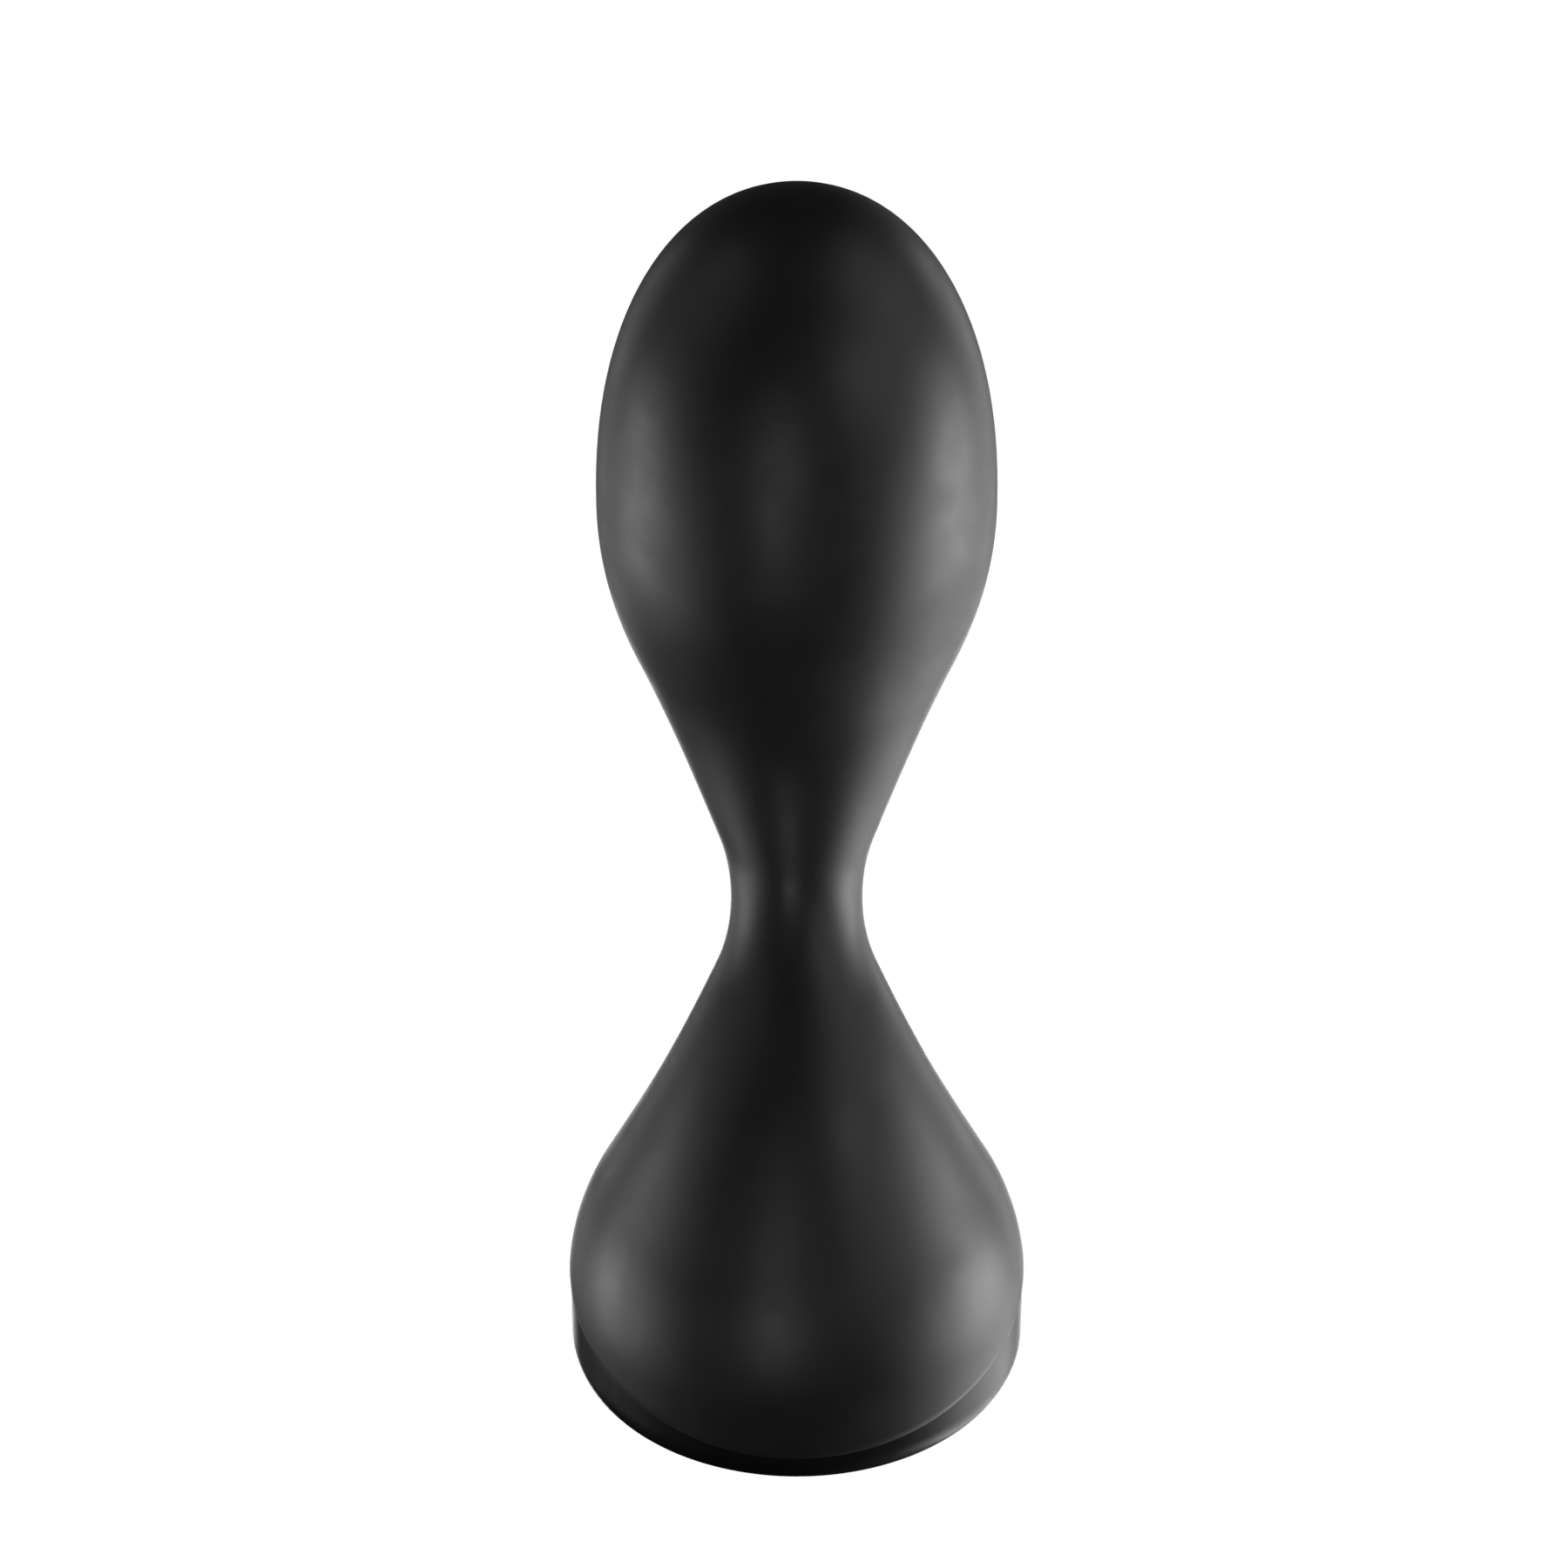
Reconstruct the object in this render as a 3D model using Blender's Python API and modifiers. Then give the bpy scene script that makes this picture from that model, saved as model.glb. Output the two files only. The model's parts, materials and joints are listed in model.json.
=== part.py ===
"""Hand-held rechargeable massager: a waisted silicone body with a vibration motor in its head.

The silicone skin is a turned, hourglass-shaped sleeve whose centre line leans back towards +Y.
It is stretched over a two-half plastic core and gripped by a rigid base cap, which carries the
circuit board, two push buttons, the charging contacts and the battery.

Frame: origin at the centre of the flat sole, +Z up, the front faces -Y. All dimensions below are
in millimetres; MM turns them into Blender's metres.
"""
import math

import bmesh
import bpy
from mathutils import Matrix, Vector

MM = 0.001
GAP = 0.3                      # clearance between pieces that touch on the real object

# Outside shape: three rounds joined by the straight flanks that touch them, under a crown
FOOT_Z = 4.0                   # the outline starts here, above the sole's rounded edge
BASE_RADIUS = 21.0             # the base is widest here
BASE_Z = 8.5                   # up to here its wall is upright,
BASE_ROUND = 22.0              # then it curves in at this radius
WAIST_RADIUS = 5.9
WAIST_Z = 45.0
WAIST_ROUND = 12.0             # radius of the hollow at the waist
HEAD_RADIUS = 17.6             # widest part of the head
HEAD_CENTRE_Z = 79.5           # height of the widest part
HEAD_ROUND = 33.0              # the head curves in below it at this radius
TOP_Z = 108.2
CROWN_POWER = 2.2              # superellipse exponent of the crown, 2 would be an ellipse
LEAN = 18.0                    # how far the head's axis stands behind the base's axis
LEAN_FROM_Z = 22.0
LEAN_TO_Z = 72.0
SKIN_WALL = 2.0
SKIN_GAP = 0.5                 # the faceted skin and core lean by steps, so they need more room
CORE_WALL = 1.6
CORE_FOOT_Z = 20.0             # the core halves stand on the cap's collar here

# Base cap
CAP_INSET = 0.16               # the skin stands proud of the cap by this
SOLE_ROUND_R = 3.6             # the sole's rounded edge: an elliptical quarter, in plan
SOLE_ROUND_Z = 3.5             # and in height
RIM_Z = 10.2                   # height of the slanted rim beside the axis
RIM_SLOPE = math.radians(16.6)  # the rim is higher at the back
SEAL_Z = 18.2                  # height of the ring seal in the collar
FLOOR_Z = 2.0
COLLAR_TOP_Z = CORE_FOOT_Z - GAP

# Circuit board and what hangs on it
BOARD_R = 14.6
BOARD_Z = 7.5
BOARD_THICK = 1.2
POST_RING_R = 12.6
POST_R = 1.9
POST_ANGLES = [math.radians(a) for a in (90, 210, 330)]

# Push buttons in the sole
BUTTON_X = 6.0
BUTTON_R = 3.5
BUTTON_FLANGE_R = 4.2
BUTTON_RECESS = 0.4
BUTTON_DISH = 0.2
BUTTON_EDGE = 0.3
BUTTON_FLANGE_Z = FLOOR_Z + GAP
BUTTON_FLANGE_THICK = 0.8
BUTTON_SEAL_WIDTH = 0.8
PLUNGER_R = 1.5
PLUNGER_LENGTH = 1.5
SWITCH_SIZE = 6.0
SWITCH_FOOT_Z = 4.5

# Charging contacts, magnets and light
CONTACT_X = 3.0
CONTACT_Y = 8.6
CONTACT_R = 1.2
MAGNET_X = 8.6
MAGNET_Y = 8.6
MAGNET_R = 2.0
LIGHT_Y = -8.8
LIGHT_R = 1.2
PIN_FACE_Z = 0.15              # how far contacts and light sit above the sole's plane
PIN_FLANGE = 0.7               # how far their flanges stand out
PIN_FLANGE_THICK = 0.6
CONTACT_STEM_R = 0.6
LIGHT_STEM_R = 1.0
LED_HEIGHT = 0.9

# Battery
CELL_SIZE = (21.0, 16.0, 7.2)
TRAY_Z = 11.8
TRAY_THICK = 1.0
CONNECTOR_HEIGHT = 1.8

# Motor, on the head's upright axis
MOTOR_Y = LEAN
MOTOR_Z = 69.0
MOTOR_LENGTH = 18.0
MOTOR_R = 7.7
SHAFT_R = 1.0
WEIGHT_R = 7.2
WEIGHT_Z = MOTOR_Z + MOTOR_LENGTH + 2.6
WEIGHT_THICK = 6.0
TERMINAL_X = 3.0
TERMINAL_DROP = 2.0            # how far the terminals reach below the motor

# Screws that join the core halves, as (offset in Y from the centre line, height)
CORE_SCREWS = [(-5.4, 61.0), (5.4, 61.0), (-6.2, 27.5), (6.2, 27.5)]
SCREW_R = 0.8
SCREW_HEAD_R = 1.5
BOSS_R = 1.9
HEAD_WELL = 1.4                # depth of the well for a screw's head, from the wall's middle

WIRE_R = 0.4
FINE = 36                      # steps round the skin and the cap
MEDIUM = 28                    # steps round the core and the motor
ROUND = 18                     # steps round the small pieces


# ---------------------------------------------------------------- scene and helpers

for old in list(bpy.data.objects):
    bpy.data.objects.remove(old, do_unlink=True)

PARTS = bpy.data.collections.new("hand_massager")
CUTTERS = bpy.data.collections.new("cutters")
for group in (PARTS, CUTTERS):
    bpy.context.scene.collection.children.link(group)


def material(name, colour, roughness, metallic=0.0):
    mat = bpy.data.materials.new(name)
    mat.use_nodes = True
    shader = mat.node_tree.nodes["Principled BSDF"]
    shader.inputs["Base Color"].default_value = (*colour, 1.0)
    shader.inputs["Roughness"].default_value = roughness
    shader.inputs["Metallic"].default_value = metallic
    mat.diffuse_color = (*colour, 1.0)
    return mat


def place(name, data, mat, at=(0.0, 0.0, 0.0), parent=None):
    """Link new object data as a part (with a material) or as a cutter (without one)."""
    obj = bpy.data.objects.new(name, data)
    obj.location = Vector(at) * MM
    if mat is None:
        CUTTERS.objects.link(obj)
        obj.hide_render = True
        obj.display_type = 'WIRE'
    else:
        PARTS.objects.link(obj)
        data.materials.append(mat)
    if parent is not None:
        obj.parent = parent
        obj.matrix_parent_inverse = Matrix.Translation(-parent.location)
    return obj


def axis_empty(name, at):
    empty = bpy.data.objects.new(name, None)
    empty.empty_display_size = 0.01
    empty.location = Vector(at) * MM
    PARTS.objects.link(empty)
    return empty


def box(name, size, centre, mat, bevel=0.0, tilt_x=0.0, parent=None):
    mesh = bpy.data.meshes.new(name)
    bm = bmesh.new()
    bmesh.ops.create_cube(bm, size=1.0)
    bmesh.ops.scale(bm, vec=Vector(size) * MM, verts=bm.verts)
    bm.to_mesh(mesh)
    bm.free()
    obj = place(name, mesh, mat, centre, parent)
    obj.rotation_euler.x = tilt_x
    if bevel:
        edge = obj.modifiers.new("edge", 'BEVEL')
        edge.width = bevel * MM
        edge.segments = 2
    return obj


def disc(name, radius, z0, z1, mat, at=(0.0, 0.0), steps=ROUND, parent=None):
    """A plain cylinder from height z0 to z1."""
    mesh = bpy.data.meshes.new(name)
    bm = bmesh.new()
    bmesh.ops.create_cone(bm, cap_ends=True, segments=steps, radius1=radius * MM,
                          radius2=radius * MM, depth=(z1 - z0) * MM)
    bm.to_mesh(mesh)
    bm.free()
    mesh.shade_smooth()
    mesh.set_sharp_from_angle(angle=math.radians(40))
    return place(name, mesh, mat, (at[0], at[1], (z0 + z1) / 2), parent)


def turned(name, profile, mat, at=(0.0, 0.0, 0.0), steps=ROUND, parent=None):
    """Turn (radius, height) points about Z. A profile off the axis is a closed loop."""
    on_axis = profile[0][0] == 0.0 and profile[-1][0] == 0.0
    bm = bmesh.new()
    verts = [bm.verts.new((r * MM, 0.0, z * MM)) for r, z in profile]
    for a, b in zip(verts, verts[1:]):
        bm.edges.new((a, b))
    if not on_axis:
        bm.edges.new((verts[-1], verts[0]))
    mesh = bpy.data.meshes.new(name)
    bm.to_mesh(mesh)
    bm.free()
    obj = place(name, mesh, mat, at, parent)
    screw = obj.modifiers.new("turn", 'SCREW')
    screw.steps = steps
    screw.render_steps = steps
    screw.use_merge_vertices = True
    screw.merge_threshold = 0.00001
    screw.use_smooth_shade = True
    return obj


def ring(name, inner, outer, z0, z1, mat, at=(0.0, 0.0), steps=ROUND, parent=None):
    profile = [(outer, z1), (outer, z0), (inner, z0), (inner, z1)]
    return turned(name, profile, mat, (at[0], at[1], 0.0), steps, parent)


def flat(name, outlines, z0, z1, mat, at=(0.0, 0.0), parent=None):
    """A flat outline (the first loop) with holes (the others), as thick as z0 to z1."""
    curve = bpy.data.curves.new(name, 'CURVE')
    curve.dimensions = '2D'
    curve.fill_mode = 'BOTH'
    curve.extrude = (z1 - z0) / 2 * MM
    for outline in outlines:
        spline = curve.splines.new('POLY')
        spline.points.add(len(outline) - 1)
        for point, (x, y) in zip(spline.points, outline):
            point.co = (x * MM, y * MM, 0.0, 1.0)
        spline.use_cyclic_u = True
    return place(name, curve, mat, (at[0], at[1], (z0 + z1) / 2), parent)


def wire(name, route, mat, per_span=4):
    """A round wire on one smooth curve through the route's points."""
    curve = bpy.data.curves.new(name, 'CURVE')
    curve.dimensions = '3D'
    curve.bevel_depth = WIRE_R * MM
    curve.bevel_resolution = 2
    curve.use_fill_caps = True
    first = [2 * a - b for a, b in zip(route[0], route[1])]
    last = [2 * a - b for a, b in zip(route[-1], route[-2])]
    points = smooth_curve([first, *route, last], per_span)
    spline = curve.splines.new('POLY')
    spline.points.add(len(points) - 1)
    for point, co in zip(spline.points, points):
        point.co = (*(Vector(co) * MM), 1.0)
    return place(name, curve, mat)


def smooth_curve(points, per_span):
    """Catmull-Rom curve through all points but the first and last, which only steer it."""
    curve = []
    for p0, p1, p2, p3 in zip(points, points[1:], points[2:], points[3:]):
        for i in range(per_span):
            t = i / per_span
            curve.append([
                0.5 * (2 * b + (c - a) * t + (2 * a - 5 * b + 4 * c - d) * t ** 2
                       + (3 * b - a - 3 * c + d) * t ** 3)
                for a, b, c, d in zip(p0, p1, p2, p3)])
    curve.append(list(points[-2]))
    return curve


def boolean(obj, tool, operation='DIFFERENCE'):
    mod = obj.modifiers.new(operation.lower(), 'BOOLEAN')
    mod.operation = operation
    mod.solver = 'EXACT'
    mod.object = tool


def bake(obj):
    """Replace an object's mesh by its evaluated one and drop its modifiers."""
    bpy.context.view_layer.update()
    graph = bpy.context.evaluated_depsgraph_get()
    mesh = bpy.data.meshes.new_from_object(obj.evaluated_get(graph))
    obj.modifiers.clear()
    obj.data = mesh


def lean_at(z):
    """How far the centre line stands behind the base's axis at this height."""
    t = min(max((z - LEAN_FROM_Z) / (LEAN_TO_Z - LEAN_FROM_Z), 0.0), 1.0)
    return LEAN * t ** 3 * (10 - 15 * t + 6 * t ** 2)


def lean(obj):
    """Shift each level of a turned mesh back by the centre line's lean.

    Each level is also stretched front to back, so that it is round across the leaning line.
    """
    bake(obj)
    for vert in obj.data.vertices:
        z = vert.co.z / MM
        slope = lean_at(z + 0.5) - lean_at(z - 0.5)
        vert.co.y = vert.co.y * math.hypot(1.0, slope) + lean_at(z) * MM


# ---------------------------------------------------------------- the outline

def flank_tilt(radius, z, rounding):
    """Tilt from upright of the straight flank that touches this round and the waist's hollow."""
    across = WAIST_RADIUS + WAIST_ROUND - (radius - rounding)
    up = abs(WAIST_Z - z)
    return math.atan2(up, across) - math.acos((rounding + WAIST_ROUND) / math.hypot(across, up))


def flank(spacing):
    """The (radius, height) points from the foot up to the head's widest part."""
    low_tilt = flank_tilt(BASE_RADIUS, BASE_Z, BASE_ROUND)
    high_tilt = flank_tilt(HEAD_RADIUS, HEAD_CENTRE_Z, HEAD_ROUND)
    corners = [(BASE_RADIUS, FOOT_Z)]
    corners += bend(BASE_RADIUS, BASE_Z, BASE_ROUND, 0.0, low_tilt, spacing)
    corners += bend(WAIST_RADIUS, WAIST_Z, -WAIST_ROUND, low_tilt, -high_tilt, spacing)
    corners += bend(HEAD_RADIUS, HEAD_CENTRE_Z, HEAD_ROUND, -high_tilt, 0.0, spacing)
    points = corners[:1]
    for (r0, z0), (r1, z1) in zip(corners, corners[1:]):
        count = math.ceil((z1 - z0) / spacing)
        points += [(r0 + (r1 - r0) * k / count, z0 + (z1 - z0) * k / count)
                   for k in range(1, count + 1)]
    return points


def bend(radius, z, rounding, start, end, spacing):
    """A round stretch between two tilts; its upright point has this radius and height."""
    steps = math.ceil(abs(rounding * (end - start)) / spacing)
    tilts = [start + (end - start) * i / steps for i in range(steps + 1)]
    return [(radius - rounding * (1 - math.cos(a)), z + rounding * math.sin(a)) for a in tilts]


def outline(spacing=3.0, crown_steps=7):
    """The body's outer (radius, height) points, from the top of the crown down to the lip."""
    crown = []
    for i in range(1, crown_steps + 1):
        angle = i / crown_steps * math.pi / 2
        r = HEAD_RADIUS * max(math.cos(angle), 0.0) ** (2 / CROWN_POWER)
        z = HEAD_CENTRE_Z + (TOP_Z - HEAD_CENTRE_Z) * math.sin(angle) ** (2 / CROWN_POWER)
        crown.append((r, z))
    crown[-1] = (0.0, TOP_Z)
    return list(reversed(flank(spacing) + crown))


def inset(profile, depth):
    """The profile moved inwards by depth, square to its own direction."""
    moved = []
    for i, (r, z) in enumerate(profile):
        before = profile[max(i - 1, 0)]
        after = profile[min(i + 1, len(profile) - 1)]
        along = Vector((after[0] - before[0], after[1] - before[1])).normalized()
        if i == 0:
            along = Vector((1.0, 0.0))
        moved.append((max(r + along.y * depth, 0.0), z - along.x * depth))
    moved[0] = (0.0, moved[0][1])
    return moved


def between(profile, z_high, z_low):
    """The stretch of a profile between two heights, with points exactly at both."""
    def radius_at(height):
        for (r0, z0), (r1, z1) in zip(profile, profile[1:]):
            if z0 >= height >= z1:
                return r0 + (r1 - r0) * (z0 - height) / (z0 - z1)
        return profile[-1][0]
    middle = [p for p in profile if z_low < p[1] < z_high]
    return [(radius_at(z_high), z_high), *middle, (radius_at(z_low), z_low)]


def rim_box(name, above, gap=0.0):
    """A large cutter on one side of the slanted rim plane."""
    size = 60.0
    normal = Vector((0.0, -math.sin(RIM_SLOPE), math.cos(RIM_SLOPE)))
    side = 1.0 if above else -1.0
    centre = Vector((0.0, 0.0, RIM_Z)) + normal * (gap + side * size / 2)
    return box(name, (size, size, size), centre, None, tilt_x=RIM_SLOPE)


# ---------------------------------------------------------------- materials

BLACK_SILICONE = material("black_silicone", (0.012, 0.012, 0.013), 0.5)
BLACK_PLASTIC = material("black_plastic", (0.02, 0.02, 0.021), 0.42)
GREY_PLASTIC = material("grey_plastic", (0.18, 0.18, 0.19), 0.5)
SEAL_RUBBER = material("seal_rubber", (0.05, 0.05, 0.055), 0.6)
BOARD_GREEN = material("board_green", (0.02, 0.12, 0.05), 0.4)
CHIP_BLACK = material("chip_black", (0.03, 0.03, 0.03), 0.35)
CLEAR_LENS = material("clear_lens", (0.85, 0.87, 0.9), 0.15)
STEEL = material("steel", (0.6, 0.6, 0.6), 0.3, 1.0)
GOLD_PLATE = material("gold_plate", (0.83, 0.65, 0.3), 0.25, 1.0)
BRASS = material("brass", (0.75, 0.56, 0.26), 0.3, 1.0)
CELL_FOIL = material("cell_foil", (0.55, 0.56, 0.58), 0.35, 0.8)
FOAM = material("foam", (0.06, 0.06, 0.06), 0.9)
RED_WIRE = material("red_wire", (0.6, 0.03, 0.02), 0.45)
BLACK_WIRE = material("black_wire", (0.02, 0.02, 0.02), 0.45)

OUTSIDE = outline()


# ---------------------------------------------------------------- skin and core

def silicone_skin():
    """The soft sleeve: 2 mm of silicone, closed at the crown and open at the slanted rim."""
    inner = inset(OUTSIDE, SKIN_WALL)
    foot = FOOT_Z
    wall_in = between(inner, inner[0][1], foot)
    profile = [*OUTSIDE, *reversed(wall_in)]
    skin = turned("silicone_skin", profile, BLACK_SILICONE, steps=FINE)
    lean(skin)
    boolean(skin, rim_box("cut_skin_rim", above=False, gap=GAP))
    return skin


def core_halves():
    """The rigid core under the skin, split into a left and a right half along the lean."""
    outer = between(inset(OUTSIDE, SKIN_WALL + SKIN_GAP), inset(OUTSIDE, SKIN_WALL + SKIN_GAP)[0][1],
                    CORE_FOOT_Z)
    inner = inset(OUTSIDE, SKIN_WALL + SKIN_GAP + CORE_WALL)
    inner = between(inner, inner[0][1], CORE_FOOT_Z)
    for side, word in ((-1, "left"), (1, "right")):
        half = turned("core_" + word, [*outer, *reversed(inner)], GREY_PLASTIC, steps=MEDIUM)
        lean(half)
        size = 130.0
        middle = (-side * (size - GAP) / 2, 0.0, 60.0)
        boolean(half, box("cut_core_" + word, (size, size, size), middle, None))
        for i, (dy, z) in enumerate(CORE_SCREWS, start=1):
            y = lean_at(z) + dy
            reach = core_reach(dy, z)
            boss = cross_cylinder(f"boss_{word}_{i}", BOSS_R, side * GAP / 2, side * reach, y, z)
            boolean(half, boss, 'UNION')
            bore = cross_cylinder(f"bore_{word}_{i}", SCREW_R + GAP, -1.0, side * 30.0, y, z)
            if side > 0:
                boolean(half, bore)
            else:
                blind = cross_cylinder(f"blind_{word}_{i}", SCREW_R + GAP, 1.0,
                                       side * (reach - HEAD_WELL), y, z)
                boolean(half, blind)
        if side > 0:
            for i, (dy, z) in enumerate(CORE_SCREWS, start=1):
                well = cross_cylinder(f"well_{i}", SCREW_HEAD_R + GAP,
                                      core_reach(dy, z) - HEAD_WELL, 30.0, lean_at(z) + dy, z)
                boolean(half, well)


def core_reach(dy, z):
    """How far from the middle plane the core's wall is at the outer side of a boss."""
    middle_of_wall = inset(OUTSIDE, SKIN_WALL + SKIN_GAP + CORE_WALL / 2)
    radius = between(middle_of_wall, z + 1.0, z)[-1][0]
    return math.sqrt(radius ** 2 - (abs(dy) + 0.7 * BOSS_R) ** 2)


def cross_cylinder(name, radius, x0, x1, y, z, mat=None):
    """A cylinder that lies along X."""
    mesh = bpy.data.meshes.new(name)
    bm = bmesh.new()
    bmesh.ops.create_cone(bm, cap_ends=True, segments=14, radius1=radius * MM,
                          radius2=radius * MM, depth=abs(x1 - x0) * MM)
    bmesh.ops.rotate(bm, verts=bm.verts, matrix=Matrix.Rotation(math.pi / 2, 3, 'Y'))
    bm.to_mesh(mesh)
    bm.free()
    return place(name, mesh, mat, ((x0 + x1) / 2, y, z))


def core_screws():
    """Pan-head screws along X; each head sits in a well of the right half, under the skin."""
    for i, (dy, z) in enumerate(CORE_SCREWS, start=1):
        reach = core_reach(dy, z)
        head = reach - HEAD_WELL + GAP
        tip = -(reach - HEAD_WELL - GAP)
        profile = [(0.0, head + 1.0), (SCREW_HEAD_R * 0.8, head + 1.0), (SCREW_HEAD_R, head + 0.6),
                   (SCREW_HEAD_R, head), (SCREW_R, head), (SCREW_R, tip + 0.6), (0.0, tip)]
        screw = turned(f"core_screw_{i}", profile, STEEL, (0.0, lean_at(z) + dy, z), steps=12)
        screw.rotation_euler.y = math.pi / 2


# ---------------------------------------------------------------- base cap

def base_cap():
    """The rigid cup under the skin, with a collar that plugs into it."""
    rim_top = 18.0
    side = between(inset(OUTSIDE, CAP_INSET), rim_top, FOOT_Z)
    radius = side[-1][0]
    round_edge = [(radius - SOLE_ROUND_R * (1 - math.cos(a)), SOLE_ROUND_Z * (1 - math.sin(a)))
                  for a in (math.radians(15 * i) for i in range(7))]
    foot = [(0.0, rim_top), *side, *round_edge, (0.0, 0.0)]
    cap = turned("base_cap", foot, BLACK_PLASTIC, steps=FINE)
    boolean(cap, rim_box("cut_cap_rim", above=True))

    collar = between(inset(OUTSIDE, SKIN_WALL + SKIN_GAP), COLLAR_TOP_Z, SOLE_ROUND_Z)
    collar = [(0.0, COLLAR_TOP_Z), *collar, (0.0, SOLE_ROUND_Z)]
    boolean(cap, turned("add_collar", collar, None, steps=FINE), 'UNION')

    room = between(inset(OUTSIDE, SKIN_WALL + SKIN_GAP + CORE_WALL), COLLAR_TOP_Z + 1.0,
                   FLOOR_Z + 3.5)
    room = [(0.0, COLLAR_TOP_Z + 1.0), *room, (room[-1][0] - 1.5, FLOOR_Z), (0.0, FLOOR_Z)]
    boolean(cap, turned("cut_room", room, None, steps=FINE))
    boolean(cap, ring("cut_seal_groove", seal_seat(), seal_seat() + 3.0, SEAL_Z - 0.6,
                      SEAL_Z + 0.6, None, steps=FINE))

    for i, angle in enumerate(POST_ANGLES, start=1):
        spot = (POST_RING_R * math.cos(angle), POST_RING_R * math.sin(angle))
        boolean(cap, disc(f"add_post_{i}", POST_R, FLOOR_Z - 0.5, BOARD_Z - GAP, None, spot,
                          steps=12), 'UNION')
        boolean(cap, disc(f"cut_post_{i}", SCREW_R + GAP, FLOOR_Z + 0.4, BOARD_Z + 1.0, None,
                          spot, steps=12))
    for x in (-BUTTON_X, BUTTON_X):
        boolean(cap, disc(f"cut_button_{x:.0f}", BUTTON_R + GAP, -1.0, FLOOR_Z + 1.0, None,
                          (x, 0.0)))
    for x in (-CONTACT_X, CONTACT_X):
        boolean(cap, disc(f"cut_contact_{x:.0f}", CONTACT_R + GAP, -1.0, FLOOR_Z + 1.0, None,
                          (x, CONTACT_Y), steps=12))
    boolean(cap, disc("cut_light", LIGHT_R + GAP, -1.0, FLOOR_Z + 1.0, None, (0.0, LIGHT_Y),
                      steps=12))


def seal_seat():
    """Radius of the bottom of the groove, 0.9 mm deep in the collar."""
    return between(inset(OUTSIDE, SKIN_WALL + SKIN_GAP), SEAL_Z, SEAL_Z - 1.0)[0][0] - 0.9


def base_seal():
    """The ring seal in the collar's groove."""
    section = 0.4
    middle = seal_seat() + GAP + section
    loop = [(middle + section * math.cos(a), SEAL_Z - section * math.sin(a))
            for a in (math.radians(60 * i) for i in range(6))]
    turned("base_seal", loop, SEAL_RUBBER, steps=FINE)


# ---------------------------------------------------------------- buttons, board, charging

def push_buttons():
    """Each button slides up through the sole and pushes the plunger of a tact switch."""
    flange_top = BUTTON_FLANGE_Z + BUTTON_FLANGE_THICK
    plunger_z = flange_top + GAP
    for word, x in (("power", -BUTTON_X), ("program", BUTTON_X)):
        travel = axis_empty(word + "_button_axis", (x, 0.0, 0.0))
        dish = BUTTON_R * 0.7
        profile = [(0.0, flange_top), (BUTTON_FLANGE_R, flange_top),
                   (BUTTON_FLANGE_R, BUTTON_FLANGE_Z), (BUTTON_R, BUTTON_FLANGE_Z),
                   (BUTTON_R, BUTTON_RECESS + BUTTON_EDGE),
                   (BUTTON_R - BUTTON_EDGE, BUTTON_RECESS),
                   (dish, BUTTON_RECESS), (0.0, BUTTON_RECESS + BUTTON_DISH)]
        turned(word + "_button", profile, BLACK_PLASTIC, (x, 0.0, 0.0), parent=travel)
        seal_r = BUTTON_FLANGE_R + GAP
        ring(word + "_button_seal", seal_r, seal_r + BUTTON_SEAL_WIDTH, BUTTON_FLANGE_Z,
             flange_top, SEAL_RUBBER, (x, 0.0))
        plunger_top = plunger_z + PLUNGER_LENGTH
        disc(word + "_plunger", PLUNGER_R, plunger_z, plunger_top, STEEL, (x, 0.0), steps=14)
        case_top = BOARD_Z - GAP
        case = box(word + "_switch", (SWITCH_SIZE, SWITCH_SIZE, case_top - SWITCH_FOOT_Z),
                   (x, 0.0, (case_top + SWITCH_FOOT_Z) / 2), CHIP_BLACK)
        boolean(case, disc(f"cut_{word}_switch", PLUNGER_R + GAP, SWITCH_FOOT_Z - 0.5,
                           plunger_top + 0.9, None, (x, 0.0), steps=14))


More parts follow.
